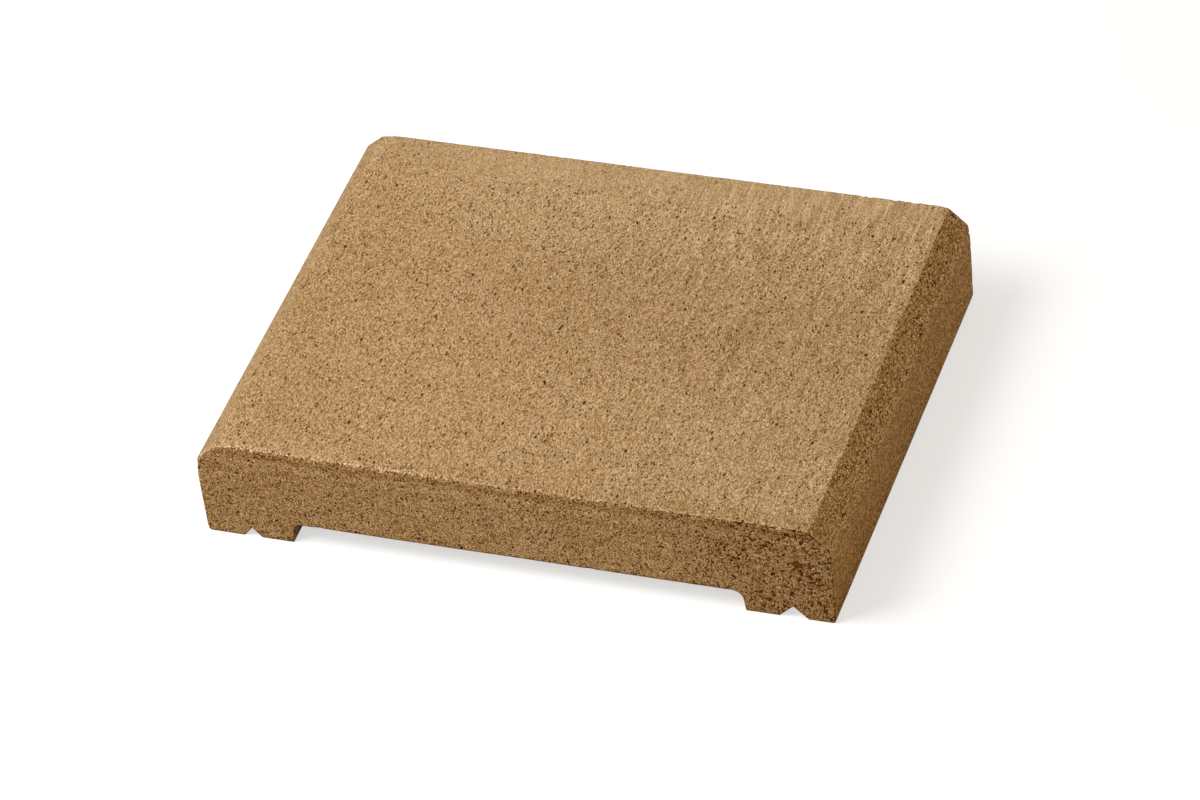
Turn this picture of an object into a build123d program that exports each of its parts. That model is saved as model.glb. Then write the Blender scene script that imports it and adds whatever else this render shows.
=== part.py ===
from build123d import *
import os

# Fence wall coping: one straight length cast in concrete, x across the wall, y along it, z up.
# The origin is at the middle of the underside. All sizes are in millimetres.

# Overall block
width = 300.0
length = 230.0
thickness = 53.0

# The weathering face is flat in the middle and falls a little towards its long arrises
left_fall_width = 8.5
left_fall_drop = 1.4
right_fall_width = 6.0
right_fall_drop = 1.0

# Steep slopes from the long arrises down to the shoulders
left_slope_width = 8.6
left_slope_drop = 7.5
right_slope_width = 7.4
right_slope_drop = 8.4

# The sides lean in below the shoulders, stand upright for a short band, then draw in a little towards the foot
left_lean = 1.0
left_lean_height = 10.0
right_lean = 0.6
right_lean_height = 7.2
upright_band = 5.0
side_draft = 0.5

# Arrises softened by the mould
top_arris_radius = 2.0
shoulder_radius = 2.5
foot_arris_radius = 2.0
soft_bend_radius = 30.0

# Trough that sits over the head of the wall, its side walls leaning in as they rise
trough_width = 215.5
trough_depth = 11.0
trough_lean = 1.5
left_trough_radius = 3.0
right_trough_radius = 5.0

# Drip grooves under the overhangs: the inset is from the side face to the root of the vee
left_groove_inset = 22.5
left_groove_width = 8.5
left_groove_depth = 5.0
right_groove_inset = 20.0
right_groove_width = 13.5
right_groove_depth = 6.5


def drip_groove(root, mouth, depth):
    """Three corners of an upward vee, from left to right, as seen on the end face."""
    return [(root - mouth / 2, 0), (root, depth), (root + mouth / 2, 0)]


def soften(face, corner, radius):
    """Rounds the corner of a face that lies nearest to the given point."""
    nearest = face.vertices().sort_by_distance((*corner, 0))[0]
    return fillet(nearest, radius)


# Half sizes and heights that the outline is drawn from
side = width / 2
trough_edge = trough_width / 2
ceiling_edge = trough_edge - trough_lean

# Corners down each long edge: where the fall starts, the arris, the shoulder, both ends of the upright band, the foot
left_shoulder = side - left_lean
left_arris = left_shoulder - left_slope_width
left_arris_height = thickness - left_fall_drop
left_shoulder_height = left_arris_height - left_slope_drop
left_band_height = left_shoulder_height - left_lean_height
left_edge = [
    (left_fall_width - left_arris, thickness),
    (-left_arris, left_arris_height),
    (-left_shoulder, left_shoulder_height),
    (-side, left_band_height),
    (-side, left_band_height - upright_band),
    (side_draft - side, 0),
]
right_shoulder = side - right_lean
right_arris = right_shoulder - right_slope_width
right_arris_height = thickness - right_fall_drop
right_shoulder_height = right_arris_height - right_slope_drop
right_band_height = right_shoulder_height - right_lean_height
right_edge = [
    (right_arris - right_fall_width, thickness),
    (right_arris, right_arris_height),
    (right_shoulder, right_shoulder_height),
    (side, right_band_height),
    (side, right_band_height - upright_band),
    (side - side_draft, 0),
]

# Outline of the end face, anticlockwise from the foot of the left side
outline = [
    left_edge[-1],
    *drip_groove(left_groove_inset - side, left_groove_width, left_groove_depth),
    (-trough_edge, 0),
    (-ceiling_edge, trough_depth),
    (ceiling_edge, trough_depth),
    (trough_edge, 0),
    *drip_groove(side - right_groove_inset, right_groove_width, right_groove_depth),
    *reversed(right_edge),
    *left_edge[:-1],
]

# Corners of the outline that the mould rounds, each with its radius
upper_radii = [soft_bend_radius, top_arris_radius, shoulder_radius, soft_bend_radius]
rounded = [
    *zip(left_edge, upper_radii),
    *zip(right_edge, upper_radii),
    (left_edge[-1], foot_arris_radius),
    (right_edge[-1], foot_arris_radius),
    ((-ceiling_edge, trough_depth), left_trough_radius),
    ((ceiling_edge, trough_depth), right_trough_radius),
]

end_face = make_face(Polyline(*outline, close=True))
for corner, radius in rounded:
    end_face = soften(end_face, corner, radius)

# The end face is swept straight along the wall, half of the length to each side
coping = extrude(Plane.XZ * end_face, length / 2, both=True)
coping.label = "coping"

os.makedirs("parts", exist_ok=True)
export_step(coping, "parts/coping.step")
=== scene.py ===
# %% [markdown]
# A coping is the flat stone on the head of a garden wall that throws the rain clear of it.
# This one is cast in a single piece from sandy, semi-dry concrete, pressed into a mould and turned
# out at once, so its faces are full of pores and its end arrises crumble a little.
# The construction is finished already and comes in as a fixed frame. The lesson starts from
# that frame, lays a fine skin over it, gives the skin its relief and its stone, and lights it.

# %% Load the frame
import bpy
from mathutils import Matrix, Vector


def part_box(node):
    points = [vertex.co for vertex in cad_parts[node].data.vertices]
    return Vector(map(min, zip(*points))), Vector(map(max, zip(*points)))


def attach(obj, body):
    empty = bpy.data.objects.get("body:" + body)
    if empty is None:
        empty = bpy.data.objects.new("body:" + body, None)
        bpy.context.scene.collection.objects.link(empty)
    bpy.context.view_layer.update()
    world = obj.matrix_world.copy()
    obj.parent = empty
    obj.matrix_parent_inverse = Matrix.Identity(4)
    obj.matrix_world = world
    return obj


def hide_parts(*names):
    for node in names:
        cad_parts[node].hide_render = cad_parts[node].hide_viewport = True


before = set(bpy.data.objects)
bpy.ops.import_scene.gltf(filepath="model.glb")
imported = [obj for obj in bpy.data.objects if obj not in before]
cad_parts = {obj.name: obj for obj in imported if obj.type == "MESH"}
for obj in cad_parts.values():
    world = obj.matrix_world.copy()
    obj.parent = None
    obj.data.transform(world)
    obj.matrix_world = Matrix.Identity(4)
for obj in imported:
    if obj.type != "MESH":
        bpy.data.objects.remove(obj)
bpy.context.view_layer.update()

low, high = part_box("coping")
width, length, thickness = (high[i] - low[i] for i in range(3))
print(f"The coping is {width:.3f} m wide, {length:.3f} m long and {thickness:.3f} m thick")

# %% [markdown]
# The picture looks down on one corner from well back with a long lens, so that the far end is
# hardly smaller than the near one. A camera can be aimed with a constraint, but one that is
# placed by its direction, height and roll about a point in the part keeps all its numbers in view.
# The roll is real: the picture is taken with the coping lying a little askew in the frame.

# %% Set up the camera
import bpy
from math import cos, radians, sin
from mathutils import Matrix, Vector

camera_turn, camera_height, camera_roll = radians(22.56), radians(40.37), radians(-7.04)
camera_distance = 2.784
camera_aim = Vector((-0.0009, 0.0082, 0.0))
lens_mm, film_mm = 180.0, 36.0

towards_camera = Vector((
    sin(camera_turn) * cos(camera_height),
    -cos(camera_turn) * cos(camera_height),
    sin(camera_height),
))
level = Vector((cos(camera_turn), sin(camera_turn), 0.0))
upright = towards_camera.cross(level)
across = cos(camera_roll) * level + sin(camera_roll) * upright
up = towards_camera.cross(across)

lens = bpy.data.cameras.new("camera")
lens.lens, lens.sensor_width = lens_mm, film_mm
camera = bpy.data.objects.new("camera", lens)
camera.matrix_world = (
    Matrix.Translation(camera_aim + camera_distance * towards_camera)
    @ Matrix((across, up, towards_camera)).transposed().to_4x4()
)
bpy.context.scene.collection.objects.link(camera)
bpy.context.scene.camera = camera
print(f"The camera stands {camera.matrix_world.translation.length:.2f} m from the coping")

# %% [markdown]
# Every finish below is built from nodes, and nodes take many lines when each is written out.
# Three small helpers keep the recipes readable: one adds a node and joins up its inputs, one does
# a sum, and one turns a range of values into another. They work alike in a material and in
# Geometry Nodes, which lets relief and colour share one recipe.

# %% Write the node helpers
def add_node(tree, kind, inputs=None, **settings):
    """Adds a node. Each input is a value or the output of another node."""
    made = tree.nodes.new(kind)
    for name, value in settings.items():
        setattr(made, name, value)
    for name, value in (inputs or {}).items():
        if isinstance(value, bpy.types.NodeSocket):
            tree.links.new(value, made.inputs[name])
        else:
            made.inputs[name].default_value = value
    return made


def calc(tree, sum_name, first, second=0.0, third=0.0):
    """One step of arithmetic on values or outputs."""
    return add_node(tree, "ShaderNodeMath", {0: first, 1: second, 2: third}, operation=sum_name).outputs[0]


def span(tree, value, start, end, low_value=0.0, high_value=1.0):
    """Eases from one value to another as the input goes from start to end."""
    limits = {"Value": value, "From Min": start, "From Max": end, "To Min": low_value, "To Max": high_value}
    return add_node(tree, "ShaderNodeMapRange", limits, interpolation_type="SMOOTHSTEP").outputs["Result"]


print("The node helpers are ready")

# %% [markdown]
# The floor is a plain pale sheet. It is a mid grey to the light, so that it doesn't bounce too much
# back on the stone, and it looks white because what the camera sees of it gets a little light of its
# own. A shadow catcher could keep the shadow alone, but then nothing would bounce up under the coping.

# %% Lay the floor
def seen_by_camera(tree):
    """1 for what the camera sees directly, in a mirror or through glass, and 0 for light on other things."""
    path = add_node(tree, "ShaderNodeLightPath")
    seen = calc(tree, "MAXIMUM", path.outputs["Is Camera Ray"], path.outputs["Is Glossy Ray"])
    return calc(tree, "MAXIMUM", seen, path.outputs["Is Transmission Ray"])


floor_size = 12.0
floor_grey = 0.50
floor_lift = 0.62

bpy.ops.mesh.primitive_plane_add(size=floor_size, location=(0, 0, 0))
floor = bpy.context.object
floor.name = "floor"
paper = bpy.data.materials.new("white_paper")
paper.use_nodes = True
tree = paper.node_tree
tree.nodes.clear()
matt = add_node(tree, "ShaderNodeBsdfDiffuse", {"Color": (floor_grey, floor_grey, floor_grey, 1)})
lift = calc(tree, "MULTIPLY", seen_by_camera(tree), floor_lift)
glow = add_node(tree, "ShaderNodeEmission", {"Strength": lift})
lifted = add_node(tree, "ShaderNodeAddShader", {0: matt.outputs[0], 1: glow.outputs[0]})
add_node(tree, "ShaderNodeOutputMaterial", {"Surface": lifted.outputs[0]})
floor.data.materials.append(paper)
print(f"The floor is {floor_size:.0f} m square")

# %% [markdown]
# The world stands for the studio's walls. It fills the shadows with a weak and slightly warm light from
# all sides, while the camera sees it plain white, as the picture's background is. A white world at full
# strength would look the same behind the coping, but would wash out the shade on its right side.

# %% Set the world
sky_strength = 0.34
warm_sky = (1.10, 1.00, 0.84)

world = bpy.data.worlds.new("studio")
bpy.context.scene.world = world
world.use_nodes = True
tree = world.node_tree
tree.nodes.clear()
seen = seen_by_camera(tree)
strength = calc(tree, "MULTIPLY_ADD", seen, 1.0 - sky_strength, sky_strength)
tinge = add_node(tree, "ShaderNodeMix", {0: seen, 6: (*warm_sky, 1), 7: (1, 1, 1, 1)}, data_type="RGBA")
sky_colour = tinge.outputs[2]
sky = add_node(tree, "ShaderNodeBackground", {"Color": sky_colour, "Strength": strength})
add_node(tree, "ShaderNodeOutputWorld", {"Surface": sky.outputs[0]})
bpy.context.scene.view_settings.view_transform = "Standard"
print(f"The world lights the stone at {sky_strength:.2f} of the white that the camera sees")

# %% [markdown]
# One broad lamp hangs high on the left and a little in front, so the top is the brightest face, the
# near end is darker, and the right side lies in the shade. A sun would light the top evenly from edge
# to edge. A lamp this near falls off a little across it, and a broad one gives soft shadows.

# %% Hang the lamp
def hang_lamp(name, direction, distance, size, power):
    """A square lamp that hangs in this direction from the coping and faces it."""
    light = bpy.data.lights.new(name, "AREA")
    light.size, light.energy = size, power
    lamp = bpy.data.objects.new(name, light)
    away = Vector(direction).normalized()
    lamp.location = away * distance
    lamp.rotation_euler = away.to_track_quat("Z", "Y").to_euler()
    bpy.context.scene.collection.objects.link(lamp)
    return lamp


key_lamp = hang_lamp("key_lamp", direction=(-0.54, -0.32, 0.78), distance=1.9, size=1.1, power=31.5)
print(f"The key lamp hangs {key_lamp.location.z:.2f} m above the floor")

# %% [markdown]
# The skin follows the section of the cast piece, so the section is read from the frame and
# not drawn again. The end face is flat, and its outline is every edge that it shares with a face
# that isn't part of the end. Walking those edges from corner to corner gives the outline in order.

# %% Read the section from the near end
import bmesh

same_place = 1e-6
flat_limit = 0.99

frame_mesh = bmesh.new()
frame_mesh.from_mesh(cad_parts["coping"].data)
bmesh.ops.remove_doubles(frame_mesh, verts=frame_mesh.verts, dist=same_place)
rim = {}
for edge in frame_mesh.edges:
    on_end = [face.normal.y < -flat_limit for face in edge.link_faces]
    if any(on_end) and not all(on_end):
        first, second = edge.verts
        rim.setdefault(first, []).append(second)
        rim.setdefault(second, []).append(first)
start = min(rim, key=lambda corner: (corner.co.z, corner.co.x))
walk = [start, max(rim[start], key=lambda corner: corner.co.x)]
while True:
    following = [corner for corner in rim[walk[-1]] if corner is not walk[-2]][0]
    if following is start:
        break
    walk.append(following)
section = [(corner.co.x, corner.co.z) for corner in walk]
frame_mesh.free()
print(f"The section has {len(section)} corners")

# %% [markdown]
# On the real piece the right slope starts a little farther in than the frame has it, and comes down to
# the same shoulder. Moving the corners would leave a soft bend there, where the real arris is crisp. So
# the section is cut along the line of the real slope, as a knife would cut it: corners inside the line
# stay, and a new one comes where the outline crosses it. A cut only takes away, and this one is less
# than a millimetre deep, so the size stays as it was cast.

# %% Pare back the right arris
from math import ceil, dist

real_arris, shoulder = (0.1406, 0.05223), (0.1494, 0.0436)


def beyond_slope(corner):
    """How far a corner of the section stands out of the real slope."""
    run_x, run_z = (shoulder[i] - real_arris[i] for i in range(2))
    out = (corner[1] - real_arris[1]) * run_x - (corner[0] - real_arris[0]) * run_z
    return out / dist(real_arris, shoulder)


deepest = max(beyond_slope(corner) for corner in section)
pared = []
for corner, following in zip(section, section[1:] + section[:1]):
    out, next_out = beyond_slope(corner), beyond_slope(following)
    if out <= 0:
        pared.append(corner)
    if out * next_out < 0:
        share = out / (out - next_out)
        pared.append(tuple(corner[i] + share * (following[i] - corner[i]) for i in range(2)))
section = pared
print(f"The right arris is cut back by {deepest * 1000:.2f} mm and the section keeps {len(section)} corners")

# %% [markdown]
# Relief needs points to move, and light needs them where it turns from one face to the next. A fine even
# grid everywhere would waste them on the underside, so the spacing follows what the stone needs: very
# close beside the bends of the section and the end arrises, moderate on the faces that show, and wide
# underneath.

# %% Space the points along the section and along the length
import numpy as np

face_pitch, arris_pitch, bend_pitch, under_pitch = 0.00175, 0.00075, 0.00045, 0.0032
arris_reach = 0.005


def graded(total, coarse, fine, reach):
    """Places from 0 to total, fine over the reach at both ends and coarse between."""
    if total < 3 * reach:
        return np.linspace(0, total, max(1, ceil(total / coarse)) + 1)
    near = np.linspace(0, reach, ceil(reach / fine) + 1)
    middle = np.linspace(reach, total - reach, ceil((total - 2 * reach) / coarse) + 1)
    return np.concatenate([near, middle[1:-1], total - near[::-1]])


level_enough = 0.1
close_steps = 3
outline = []
for (x0, z0), (x1, z1) in zip(section, section[1:] + section[:1]):
    run = dist((x0, z0), (x1, z1))
    faces_down = x1 - x0 > level_enough * run
    pitch = under_pitch if faces_down else face_pitch
    close = under_pitch if faces_down else bend_pitch
    places = graded(run, pitch, close, close_steps * close) / run
    outline += [(x0 + t * (x1 - x0), z0 + t * (z1 - z0)) for t in places[:-1]]
outline = np.array(outline)
rings = low[1] + graded(length, face_pitch, arris_pitch, arris_reach)
print(f"{len(outline)} points round the section, {len(rings)} rings along the length")

# %% [markdown]
# The long faces are a sweep: the same outline at every ring, joined by four-sided faces. The two ends
# need a mesh of their own inside the outline. A fan or a plain n-gon has no points in the middle to
# move, so the end is filled with a scatter of points in rows and Delaunay triangulation
# joins them, with the outline as a fixed border.

# %% Fill the ends
from mathutils.geometry import delaunay_2d_cdt

end_pitch = 0.00092
row_rise = 0.87
clearance = 0.6
same_point = 1e-9
keep_inside = 1


def distance_to_outline(points):
    """How far each point lies from the nearest side of the outline."""
    nearest = np.full(len(points), np.inf)
    for start, end in zip(outline, np.roll(outline, -1, axis=0)):
        side = end - start
        along = np.clip((points - start) @ side / (side @ side), 0, 1)
        nearest = np.minimum(nearest, np.linalg.norm(points - start - along[:, None] * side, axis=1))
    return nearest


def rows_of_points(pitch):
    """Points in staggered rows over the whole end, as bricks lie in a wall."""
    rows = np.arange(low[2], high[2], pitch * row_rise)
    columns = np.arange(low[0], high[0], pitch)
    return np.array([(x + pitch / 2 * (j % 2), z) for j, z in enumerate(rows) for x in columns])


scatter = rows_of_points(end_pitch)
scatter = scatter[distance_to_outline(scatter) > clearance * end_pitch]
border = [(i, (i + 1) % len(outline)) for i in range(len(outline))]
everything = [Vector(p) for p in np.vstack([outline, scatter])]
filled = delaunay_2d_cdt(everything, border, [], keep_inside, same_point)
flat_points, _, end_triangles, came_from, _, _ = filled
print(f"{len(end_triangles)} triangles fill an end")

# %% [markdown]
# Delaunay may renumber the points, and it throws away those that fell outside the outline, so the end's
# own numbers are turned back into places in the whole skin. Ring points come first in the skin, then
# what each end adds inside its outline. The far end has the same points as the near one.

# %% Number the points of the skin
around = len(outline)
ring_count = len(rings)
sweep_points = np.array([(x, y, z) for y in rings for x, z in outline])
in_use = sorted({number for triangle in end_triangles for number in triangle})
inner = {}
for number in in_use:
    if min(came_from[number]) >= around:
        inner[number] = len(inner)
inner_points = np.array([flat_points[number] for number in inner])


def end_numbers(ring, first_inner):
    """For each of the end's points, its number in the skin."""
    return {
        number: first_inner + inner[number] if number in inner else ring * around + min(came_from[number])
        for number in in_use
    }


def end_points(y):
    """The points inside an end, standing at this place along the length."""
    return np.column_stack([inner_points[:, 0], np.full(len(inner_points), y), inner_points[:, 1]])


near_numbers = end_numbers(0, len(sweep_points))
far_numbers = end_numbers(ring_count - 1, len(sweep_points) + len(inner_points))
points = np.vstack([sweep_points, end_points(rings[0]), end_points(rings[-1])])
print(f"The skin has {len(sweep_points)} points in its rings and {len(inner_points)} inside each end")

# %% [markdown]
# With every point numbered, the faces are only lists of numbers. The far end is the near one seen in a
# mirror, so its triangles turn the other way. A closed skin encloses the same volume as the cast piece
# and has no open edge, so both are measured: a hole or a flipped end would show in these numbers long
# before it shows in a picture.

# %% Join the sweep and the ends into one skin
faces = [
    (j * around + i, (j + 1) * around + i, (j + 1) * around + (i + 1) % around, j * around + (i + 1) % around)
    for j in range(ring_count - 1)
    for i in range(around)
]
faces += [tuple(near_numbers[n] for n in triangle) for triangle in end_triangles]
faces += [tuple(far_numbers[n] for n in reversed(triangle)) for triangle in end_triangles]
skin_mesh = bpy.data.meshes.new("coping_skin")
skin_mesh.from_pydata(points.tolist(), [], faces)
skin_mesh.validate()
skin = bpy.data.objects.new("coping_skin", skin_mesh)
bpy.context.scene.collection.objects.link(skin)
skin_mesh.shade_smooth()
outward = bmesh.new()
outward.from_mesh(skin_mesh)
print(f"The skin holds {outward.calc_volume(signed=True) * 1000:.3f} litres")
open_edges = sum(not edge.is_manifold for edge in outward.edges)
outward.free()
triangle_count = sum(len(face.vertices) - 2 for face in skin_mesh.polygons)
print(f"{triangle_count} triangles, {open_edges} open edges")

# %% [markdown]
# Relief and stone both have to know where in the mould a point was cast and which way it faced there.
# Once the relief has moved the points, their places no longer say that cleanly, so both are stored on
# the skin first. A third value says how far a point is from the arris round its end. Places and
# distances are in millimetres, because every size in the recipes below then reads as one on the stone.

# %% Store each point's place in the mould
mm = 1000.0


def store(name, kind, field, values):
    """Stores one value or vector for each point of the skin."""
    skin_mesh.attributes.new(name, kind, "POINT").data.foreach_set(field, np.ravel(values).astype(np.float32))


facing = np.empty(3 * len(points))
skin_mesh.vertices.foreach_get("normal", facing)
from_end = np.repeat(np.minimum(rings - rings[0], rings[-1] - rings), around)
from_outline = np.tile(distance_to_outline(inner_points), 2)
store("mould_place", "FLOAT_VECTOR", "vector", points * mm)
store("mould_facing", "FLOAT_VECTOR", "vector", facing)
store("from_arris", "FLOAT", "value", np.concatenate([from_end, from_outline]) * mm)
print(f"Stored three values on each of {len(points)} points")

# %% [markdown]
# The recipes to come are sums of many layers, so a few more helpers keep each to a line: the three parts
# of a vector, a product, a sum of weighted terms, and a value that fades with distance. They could be
# node groups, but a function leaves plain nodes behind, which read the same in both kinds of tree.

# %% Write the helpers for layers
from types import SimpleNamespace


def parts_of(tree, vector):
    """The three parts of a vector."""
    return add_node(tree, "ShaderNodeSeparateXYZ", {"Vector": vector}).outputs[:]


def both(tree, first, second):
    """The product of two values."""
    return calc(tree, "MULTIPLY", first, second)


def summed(tree, start, *terms):
    """The start plus every pair's product."""
    for first, second in terms:
        start = calc(tree, "MULTIPLY_ADD", first, second, start)
    return start


def fading(tree, distance, reach):
    """1 at the arris, falling away with distance from it."""
    return calc(tree, "EXPONENT", calc(tree, "MULTIPLY", distance, -1 / reach))


print("The helpers for layers are ready")

# %% [markdown]
# The faces differ because of how the piece was made. The top was struck off, the slopes were pressed
# against the mould and stayed open in texture, the sides slid past its steel walls and came out closed,
# and the ends were the last to leave, so they are torn. One recipe tells the faces apart by the
# direction they face, and eases from one to the next round every arris. It also says where a face
# isn't like the rest of its kind, such as the open strip below the shoulder and the torn right of the
# end. The easing leaves the very arris to neither face, so what lies on it goes by a sharper pair of
# values, on_top and on_end.

# %% Tell the faces apart
def spot(tree, place, facing, from_arris):
    """What is known of a point: its place, its face and its distance from the arris."""
    x, y, z = parts_of(tree, place)
    across, along, upward = parts_of(tree, facing)
    sideways = calc(tree, "ABSOLUTE", across)
    slanting = calc(tree, "MINIMUM", sideways, upward)
    belongings = (
        span(tree, upward, 0.80, 0.97),
        span(tree, slanting, 0.25, 0.60),
        span(tree, sideways, 0.80, 0.97),
        span(tree, calc(tree, "ABSOLUTE", along), 0.50, 0.85),
        span(tree, calc(tree, "MULTIPLY", upward, -1.0), 0.30, 0.60),
    )
    whole = summed(tree, 0.0, *((belonging, 1.0) for belonging in belongings))
    shares = (calc(tree, "DIVIDE", belonging, whole) for belonging in belongings)
    here = SimpleNamespace(place=place, x=x, y=y, z=z, from_arris=from_arris)
    here.top, here.slope, here.side, here.end, here.under = shares
    here.porous = both(tree, here.side, span(tree, z, 37.5, 40.0))
    here.torn = both(tree, here.end, span(tree, x, 50.0, 125.0))
    here.near = span(tree, y, 60.0, -60.0)
    here.upper = span(tree, z, 20.0, 34.0)
    here.arris = both(tree, both(tree, fading(tree, from_arris, 1.6), here.near), here.upper)
    here.left = span(tree, x, -60.0, -120.0)
    here.flank = calc(tree, "MAXIMUM", here.slope, here.side)
    more_up = calc(tree, "SUBTRACT", upward, calc(tree, "ABSOLUTE", along))
    off_flank = calc(tree, "SUBTRACT", 1.0, here.flank)
    here.on_top = both(tree, span(tree, more_up, -0.06, 0.06), off_flank)
    here.on_end = both(tree, span(tree, more_up, 0.06, -0.06), off_flank)
    here.smooth_corner = both(tree, here.flank, span(tree, y, -90.0, -106.0))
    here.smooth_rim = both(tree, here.top, span(tree, y, 82.0, 110.0))
    here.smooth_left = both(tree, here.flank, here.left)
    return here


def by_face(tree, here, top, slope, side, end, under=0.0):
    """One value for each kind of face, joined by how far a point belongs to each."""
    pairs = ((here.top, top), (here.slope, slope), (here.side, side), (here.end, end), (here.under, under))
    return summed(tree, 0.0, *pairs)


print("Five kinds of face are told apart")

# %% [markdown]
# Sandy concrete is grains with pores between them. Both come from two textures. Noise gives soft uneven
# fields. Voronoi scatters points through space and tells how far the nearest one is: a ball round
# some of these points, each with its own radius, is a pore or a grain of sand where the surface cuts it.

# %% Write the recipes for grain and pores
def stretched(tree, place, x=1.0, y=1.0, z=1.0):
    """The place scaled along each axis. A pattern read there is drawn out where the scale is under 1."""
    return add_node(tree, "ShaderNodeVectorMath", {0: place, 1: (x, y, z)}, operation="MULTIPLY").outputs[0]


def soft_noise(tree, place, size, detail=0.0, rough=0.5):
    """Smooth noise from about -1 to 1, whose blotches are about this size."""
    settings = {"Vector": place, "Scale": 1.0 / size, "Detail": detail, "Roughness": rough}
    noise = add_node(tree, "ShaderNodeTexNoise", settings)
    return calc(tree, "MULTIPLY_ADD", noise.outputs[0], 2.0, -1.0)


def ruffled(tree, place, size, reach):
    """The place pushed about by noise, so that what is read there has uneven outlines."""
    noise = add_node(tree, "ShaderNodeTexNoise", {"Vector": place, "Scale": 1.0 / size, "Detail": 1.0})
    settings = {0: noise.outputs["Color"], 1: (0.5, 0.5, 0.5)}
    push = add_node(tree, "ShaderNodeVectorMath", settings, operation="SUBTRACT").outputs[0]
    settings = {0: push, 1: (2 * reach,) * 3, 2: place}
    return add_node(tree, "ShaderNodeVectorMath", settings, operation="MULTIPLY_ADD").outputs[0]


def lots(tree, cells):
    """Three random numbers for each cell. Its own colour has placed its point, so it is shuffled first."""
    shuffled = add_node(tree, "ShaderNodeTexWhiteNoise", {"Vector": cells.outputs["Color"]})
    return parts_of(tree, shuffled.outputs["Color"])


def scattered(tree, place, spacing, radius, share, softness=0.5):
    """Balls strewn at random: up to 1 inside and 0 outside. The share says how many of them stay."""
    cells = add_node(tree, "ShaderNodeTexVoronoi", {"Vector": place, "Scale": 1.0 / spacing})
    lot_size, lot_share, lot_depth = lots(tree, cells)
    edge = both(tree, span(tree, lot_size, 0.0, 1.0, 0.40 / spacing, 1.0 / spacing), radius)
    heart = calc(tree, "MULTIPLY", edge, 1.0 - softness)
    inside = span(tree, cells.outputs["Distance"], heart, edge, 1.0, 0.0)
    inside = both(tree, inside, span(tree, lot_depth, 0.0, 1.0, 0.5, 1.0))
    return both(tree, inside, calc(tree, "LESS_THAN", lot_share, share))


def cell_tones(tree, place, spacing):
    """A different tone from -1 to 1 in each grain of this spacing."""
    cells = add_node(tree, "ShaderNodeTexVoronoi", {"Vector": place, "Scale": 1.0 / spacing})
    return calc(tree, "MULTIPLY_ADD", lots(tree, cells)[0], 2.0, -1.0)


print("The recipes for grain and pores are ready")

# %% [markdown]
# Pores come in three sizes, because one size alone would look printed. The large ones serve the relief and
# the painted shade alike. The smaller ones are too fine for the mesh, so their shade is painted into the
# colour, and a bump gives all but the finest some depth. The share of pores differs from face to face: few on
# the top, many on the slopes and the ends, and almost none on the sides.

# %% Settle the pores
def grain_place(tree, here):
    """The place in which the grain is read. It is drawn out along the length, the way the mould slid off."""
    return stretched(tree, here.place, x=1.30, y=0.65, z=1.12)


def small_pores(tree, here):
    """Pores up to 1 mm across, which pepper every face but the sides."""
    share = by_face(tree, here, top=0.31, slope=0.46, side=0.03, end=0.36, under=0.3)
    crowding = soft_noise(tree, here.place, 20.0)
    share = summed(tree, share, (here.porous, 0.42), (crowding, 0.12), (here.arris, 0.3))
    share = summed(tree, share, (here.smooth_corner, -0.38), (here.smooth_rim, -0.25))
    share = summed(tree, share, (here.smooth_left, -0.35))
    radius = by_face(tree, here, top=0.60, slope=0.62, side=0.50, end=0.68, under=0.60)
    radius = summed(tree, radius, (here.porous, 0.15))
    return scattered(tree, ruffled(tree, grain_place(tree, here), 0.6, 0.25), 1.30, radius, share, 0.30)


def fine_pores(tree, here):
    """Pores of half a millimetre, most of them on the slopes."""
    share = by_face(tree, here, top=0.14, slope=0.40, side=0.02, end=0.20, under=0.1)
    share = summed(tree, share, (here.porous, 0.35), (here.smooth_corner, -0.30), (here.smooth_rim, -0.12))
    share = summed(tree, share, (here.smooth_left, -0.35))
    return scattered(tree, ruffled(tree, here.place, 0.5, 0.15), 0.90, 0.40, share, 0.30)


def large_pores(tree, here):
    """Pores up to 2 mm across, few and far between but for the torn end and its arris."""
    share = by_face(tree, here, top=0.06, slope=0.03, side=0.02, end=0.10, under=0.15)
    share = summed(tree, share, (here.torn, 0.16), (here.arris, 0.34), (here.porous, 0.10))
    share = summed(tree, share, (here.smooth_corner, -0.2), (here.smooth_rim, -0.1), (here.smooth_left, -0.2))
    return scattered(tree, ruffled(tree, grain_place(tree, here), 0.9, 0.5), 2.3, 0.95, share, 0.3)


print("The pores are settled")

# %% [markdown]
# Where the mould tore the near end, hollows run into each other. Single balls can't do that, however
# dense they lie, so the hollows are cut from noise instead: wherever it rises above a threshold, the
# stone is gone. The threshold sinks towards the right of the end, and there the hollows join up.

# %% Settle the torn hollows
def hollows(tree, here):
    """Ragged hollows that run into each other, where the near end is torn."""
    crowding = soft_noise(tree, here.place, 10.0)
    lift = summed(tree, -0.66, (here.end, 0.42), (here.torn, 0.28), (here.arris, 0.08))
    lift = summed(tree, lift, (both(tree, crowding, here.end), 0.16))
    ragged = soft_noise(tree, ruffled(tree, here.place, 1.0, 0.5), 1.9, 2.0, 0.6)
    return span(tree, calc(tree, "ADD", ragged, lift), 0.20, 0.34)


print("The hollows are settled")

# %% [markdown]
# The relief is a Geometry Nodes modifier: it moves each point inward against the way it faces, never
# outward, so the skin stays within the cast size. It adds up a slow unevenness of the faces, the
# roughness of the grain, the large pores and hollows, and the crumbling of the end arrises. A Displace
# modifier could do one of these, but the nodes can join them and reuse the recipes that colour the stone.

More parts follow.
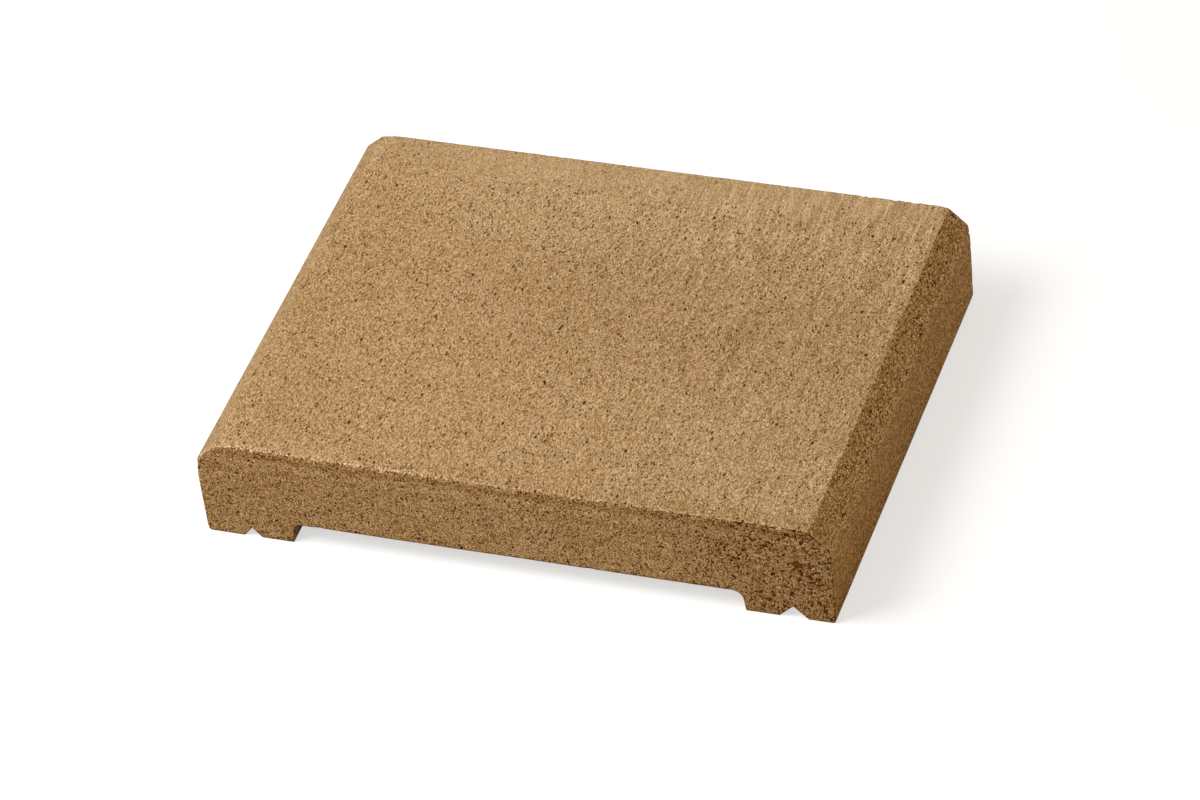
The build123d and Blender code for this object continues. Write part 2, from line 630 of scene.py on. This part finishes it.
# %% Give the skin its relief
relief = bpy.data.node_groups.new("relief", "GeometryNodeTree")
relief.interface.new_socket("Geometry", in_out="INPUT", socket_type="NodeSocketGeometry")
relief.interface.new_socket("Geometry", in_out="OUTPUT", socket_type="NodeSocketGeometry")


def stored(tree, name, kind="FLOAT_VECTOR"):
    """A value that is stored on the skin."""
    attribute = add_node(tree, "GeometryNodeInputNamedAttribute", {"Name": name}, data_type=kind)
    return attribute.outputs["Attribute"]


def crumbling(tree, here):
    """How deep the end arris has crumbled away, in millimetres. The near end is far more worn."""
    chips = span(tree, soft_noise(tree, here.place, 3.0, 2.0), -0.15, 0.40, 0.1, 2.2)
    wear = span(tree, here.near, 0.0, 1.0, 0.10, 0.80)
    wear = summed(tree, wear, (span(tree, here.x, 60.0, 110.0, 0.0, 0.60), here.near))
    wear = both(tree, both(tree, wear, here.upper), span(tree, here.x, -148.5, -142.0, 0.1, 1.0))
    bite = calc(tree, "SUBTRACT", both(tree, chips, wear), here.from_arris)
    return both(tree, calc(tree, "MAXIMUM", bite, 0.0), 0.42)


cast_place, cast_facing = stored(relief, "mould_place"), stored(relief, "mould_facing")
here = spot(relief, cast_place, cast_facing, stored(relief, "from_arris", "FLOAT"))
waver = calc(relief, "MULTIPLY_ADD", soft_noise(relief, here.place, 38.0), 0.08, 0.03)
grain_depth = by_face(relief, here, top=0.03, slope=0.06, side=0.02, end=0.09, under=0.03)
grain = both(relief, calc(relief, "ADD", soft_noise(relief, here.place, 2.2, 1.0), 1.0), grain_depth)
depth = calc(relief, "ADD", calc(relief, "ADD", waver, grain), crumbling(relief, here))
depth = summed(relief, depth, (large_pores(relief, here), 0.45), (hollows(relief, here), 0.45))
depth = calc(relief, "MAXIMUM", depth, 0.0)
settings = {0: cast_facing, "Scale": calc(relief, "MULTIPLY", depth, -1 / mm)}
inward = add_node(relief, "ShaderNodeVectorMath", settings, operation="SCALE").outputs[0]
before = add_node(relief, "NodeGroupInput").outputs[0]
moved = add_node(relief, "GeometryNodeSetPosition", {"Geometry": before, "Offset": inward})
add_node(relief, "NodeGroupOutput", {0: moved.outputs[0]})
skin.modifiers.new("relief", "NODES").node_group = relief
evaluated = skin.evaluated_get(bpy.context.evaluated_depsgraph_get())
cut = np.linalg.norm(np.array([vertex.co for vertex in evaluated.data.vertices]) - points, axis=1) * mm
print(f"The relief reaches {cut.max():.2f} mm deep and is {cut.mean():.2f} mm deep on average")

# %% [markdown]
# The colour of the stone runs along one line, from the dark brown painted as a pore's shade through tan to
# the cream of a clean grain of sand, so a single tone picks it from a colour ramp. Everything that makes the
# surface uneven then only has to raise or lower that tone, which is counted in grey levels from 0 to 255.

# %% Start the concrete
stone = bpy.data.materials.new("sandy_concrete")
stone.use_nodes = True
tree = stone.node_tree
tree.nodes.clear()


def linear(level):
    """A colour level from 0 to 255 as the linear value that a shader takes."""
    share = max(level, 0) / 255
    return share / 12.92 if share <= 0.04045 else ((share + 0.055) / 1.055) ** 2.4


stone_greys = (20, 50, 80, 110, 140, 180, 220)
deepens_below = 140


def tone_to_colour(tree, tone, red_above, blue_below):
    """Picks the stone's colour for a grey level from 0 to 255. The colour deepens where it is dark."""
    ramp = add_node(tree, "ShaderNodeValToRGB", {"Fac": calc(tree, "DIVIDE", tone, 255.0)})
    stops = ramp.color_ramp.elements
    while len(stops) < len(stone_greys):
        stops.new(0.5)
    for stop, grey in zip(stops, stone_greys):
        deeper = max(deepens_below - grey, 0)
        red, blue = grey + red_above * (1 + deeper / 400), grey - blue_below * (1 + deeper / 250)
        stop.position = grey / 255
        stop.color = (linear(red), linear(grey), linear(blue), 1)
    return ramp.outputs["Color"]


def skin_value(name, output="Vector"):
    """A value that is stored on the skin, for the material."""
    return add_node(tree, "ShaderNodeAttribute", attribute_name=name).outputs[output]


here = spot(tree, skin_value("mould_place"), skin_value("mould_facing"), skin_value("from_arris", "Fac"))
grained = grain_place(tree, here)
fine, small = fine_pores(tree, here), small_pores(tree, here)
large, ragged = large_pores(tree, here), hollows(tree, here)
print("The concrete's tone runs over", len(stone_greys), "stops")

# %% [markdown]
# The tone of the concrete is built up from coarse to fine: blotches where the mix was damper, a mottle
# of a millimetre or two, single grains of sand, then the painted shade of the pores, and last the streaks
# that the strike-off bar left on the top and the mould on the end. Each layer has its own strength on each
# kind of face, because one even mix for all would make the faces look cut from one block.

# %% Mix the tone of the concrete
blotches = summed(
    tree, 0.0,
    (soft_noise(tree, here.place, 24.0, 1.0), 4.0),
    (soft_noise(tree, here.place, 7.0, 1.0), calc(tree, "MULTIPLY_ADD", here.end, 4.0, 4.5)),
)
mottle = summed(
    tree, 0.0,
    (soft_noise(tree, grained, 1.9, 1.0), 7.0),
    (soft_noise(tree, grained, 0.75, 1.0), 16.0),
    (cell_tones(tree, ruffled(tree, grained, 0.6, 0.2), 0.54), 43.0),
)
unevenness = by_face(tree, here, top=1.02, slope=1.5, side=1.66, end=1.3, under=1.0)
unevenness = summed(tree, unevenness, (here.smooth_corner, -0.2), (here.smooth_rim, -0.35))
unevenness = summed(tree, unevenness, (here.smooth_left, -0.65), (here.porous, 0.6))
sand_share = summed(tree, 0.26, (here.arris, 0.4), (here.smooth_left, -0.2))
sand = scattered(tree, ruffled(tree, grained, 0.6, 0.2), 1.7, 0.50, sand_share, 0.5)
pitted = by_face(tree, here, top=1.0, slope=1.25, side=0.7, end=1.2, under=1.0)
pitted = summed(tree, pitted, (here.porous, 0.6))
opened = calc(tree, "MAXIMUM", both(tree, large, 1.6), ragged)
# Painted shade: the pores and hollows are darkened where their shadow would fall.
painted_pore_shade = summed(tree, 0.0, (fine, -90.0), (small, -120.0), (opened, -66.0))
streaks = soft_noise(tree, stretched(tree, here.place, y=0.10), 1.5)
streaked = both(tree, here.top, span(tree, here.x, -40.0, 60.0, 3.0, 17.0))
drags = soft_noise(tree, stretched(tree, here.place, x=0.08), 1.2)
tone = summed(
    tree, by_face(tree, here, top=142.0, slope=135.5, side=137.5, end=138.5, under=140.0),
    (blotches, by_face(tree, here, top=1.0, slope=0.2, side=1.2, end=1.3, under=1.0)),
    (mottle, unevenness),
    (sand, by_face(tree, here, top=46.0, slope=60.0, side=60.0, end=66.0, under=36.0)),
    (painted_pore_shade, pitted),
    (both(tree, streaks, streaked), span(tree, here.y, 0.0, 100.0, 1.0, 1.7)),
    (both(tree, drags, here.end), span(tree, here.z, 30.0, 44.0, 4.0, 13.0)),
)
print("Six layers lie over the base tone")

# %% [markdown]
# Shades follow how the piece dried and was handled: a dry, pale back and a damp middle of the top, cream
# grains broken out along the near arris, and a paler strip where the mould rubbed the shoulder. Light and
# shade are painted in as well: a painted shadow in the undercut below the near arris and among its crumbs, a
# painted highlight along that arris, and painted light on the top beside the right arris. They could be
# painted by hand, but soft steps along the mould's own axes can be set one by one, and each stays where it
# belongs.

# %% Shade the damp and dry parts and paint light and shade
def between(tree, value, rise_start, rise_end, fall_start, fall_end):
    """1 between the rise and the fall, easing to 0 outside."""
    return both(tree, span(tree, value, rise_start, rise_end), span(tree, value, fall_end, fall_start))


dry_back = both(tree, here.top, span(tree, here.y, 25.0, 112.0))
damp_middle = both(tree, here.top, between(tree, here.y, -55.0, -5.0, 15.0, 75.0))
damp_middle = both(tree, damp_middle, span(tree, here.x, -100.0, -10.0))
near_rim = both(tree, here.top, span(tree, here.y, -102.0, -112.0))
near_rim = both(tree, near_rim, span(tree, here.x, -110.0, -40.0))
wobble = summed(tree, here.z, (soft_noise(tree, here.place, 14.0), 1.2))
# Painted shade: a dark strip below the near arris, where the undercut lies in shadow.
painted_undercut_shade = both(tree, here.end, between(tree, wobble, 46.8, 48.8, 50.2, 52.0))
light_band = both(tree, here.end, between(tree, wobble, 41.5, 43.5, 45.0, 47.5))
drag_line = both(tree, here.end, between(tree, wobble, 37.0, 39.0, 40.5, 42.5))
low_edge = both(tree, here.end, span(tree, here.z, 24.0, 16.0))
low_edge = both(tree, low_edge, fading(tree, here.from_arris, 1.2))
arris_grains = both(tree, span(tree, soft_noise(tree, here.place, 1.15, 1.0), 0.08, 0.22), here.arris)
arris_grains = both(tree, arris_grains, calc(tree, "SUBTRACT", 1.0, calc(tree, "MAXIMUM", small, large)))
# Painted highlight: a light line along the near arris on the top, brighter over the lit stretch.
painted_arris_highlight = both(tree, both(tree, here.on_top, here.near), fading(tree, here.from_arris, 0.8))
painted_arris_highlight = both(tree, painted_arris_highlight, span(tree, soft_noise(tree, here.place, 5.0, 1.0), -0.5, 0.1))
lit_stretch = between(tree, here.x, -75.0, -55.0, -5.0, 15.0)
# Painted shade: the gaps among the crumbs on the end side of the near arris, less dark over the lit stretch.
painted_crumb_shade = both(tree, here.on_end, here.arris)
painted_crumb_shade = both(tree, painted_crumb_shade, span(tree, soft_noise(tree, here.place, 2.5, 1.0), -0.15, 0.20))
# Painted light: the top is lightened beside the right arris, where the smooth shading across the arris
# darkens it.
right_rim_painted_light = both(tree, here.top, span(tree, here.x, 131.0, 138.0))
rubbed_shoulder = both(tree, here.flank, between(tree, here.z, 36.5, 40.5, 42.5, 45.5))
# The lower part of the right side is darker towards the near end and paler towards the far end.
low_side = both(tree, here.side, span(tree, here.z, 34.0, 4.0))
shades = [
    (dry_back, 8.0), (damp_middle, -6.0), (near_rim, -8.0), (right_rim_painted_light, 6.0),
    (painted_undercut_shade, -15.0), (light_band, 6.0), (drag_line, -6.0), (low_edge, -14.0),
    (here.torn, -11.0), (here.left, -5.0), (rubbed_shoulder, 20.0),
    (here.smooth_left, 4.0), (here.smooth_rim, 2.0), (here.smooth_corner, -5.0),
    (painted_arris_highlight, summed(tree, 8.0, (lit_stretch, 20.0))), (painted_crumb_shade, summed(tree, -42.0, (lit_stretch, 30.0))),
    (arris_grains, span(tree, here.x, -60.0, -20.0, 125.0, 50.0)),
    (both(tree, low_side, span(tree, here.y, -10.0, -112.0)), -12.0),
    (both(tree, low_side, span(tree, here.y, 10.0, 112.0)), 12.0),
]
tone = summed(tree, tone, *shades)
print(f"{len(shades)} shades lie over the grain")

# %% [markdown]
# Concrete has almost no shine, so a Principled shader with a high roughness and a low specular level
# will do. The faces in shade look a richer brown than the lit top, and that is painted in: the tone is
# turned into a plain colour and a rich one, and each face takes more of the rich one the deeper it lies in
# shade. A bump adds the finest hollows, which the mesh is too coarse to hold: the shader tilts the surface
# there without moving it.

# %% Finish the concrete
darkest, lightest = 20.0, 225.0
tone = calc(tree, "MINIMUM", calc(tree, "MAXIMUM", tone, darkest), lightest)
# Painted shade: faces take more of the rich brown the deeper they lie in shade, most on the sides and least
# on the top.
painted_shade_richness = by_face(tree, here, top=0.14, slope=0.66, side=0.90, end=0.42, under=0.5)
painted_shade_richness = both(tree, painted_shade_richness, calc(tree, "SUBTRACT", 1.0, here.smooth_left))
colour = add_node(tree, "ShaderNodeMix", {
    0: painted_shade_richness,
    6: tone_to_colour(tree, tone, 30, 38),
    7: tone_to_colour(tree, tone, 50, 62),
}, data_type="RGBA").outputs[2]
roughness = soft_noise(tree, grained, 0.9, 2.0)
height = summed(tree, 0.0, (small, -0.28), (large, -0.4), (ragged, -0.4), (roughness, 0.10))
bump = add_node(tree, "ShaderNodeBump", {"Strength": 1.0, "Distance": 1 / mm, "Height": height})
principled = add_node(tree, "ShaderNodeBsdfPrincipled", {
    "Base Color": colour,
    "Roughness": 0.92,
    "Specular IOR Level": 0.10,
    "Normal": bump.outputs["Normal"],
})
add_node(tree, "ShaderNodeOutputMaterial", {"Surface": principled.outputs[0]})
skin_mesh.materials.append(stone)
print("The concrete is on the skin")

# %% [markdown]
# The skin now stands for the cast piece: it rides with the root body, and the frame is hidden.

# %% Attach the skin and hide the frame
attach(skin, "root")
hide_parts("coping")
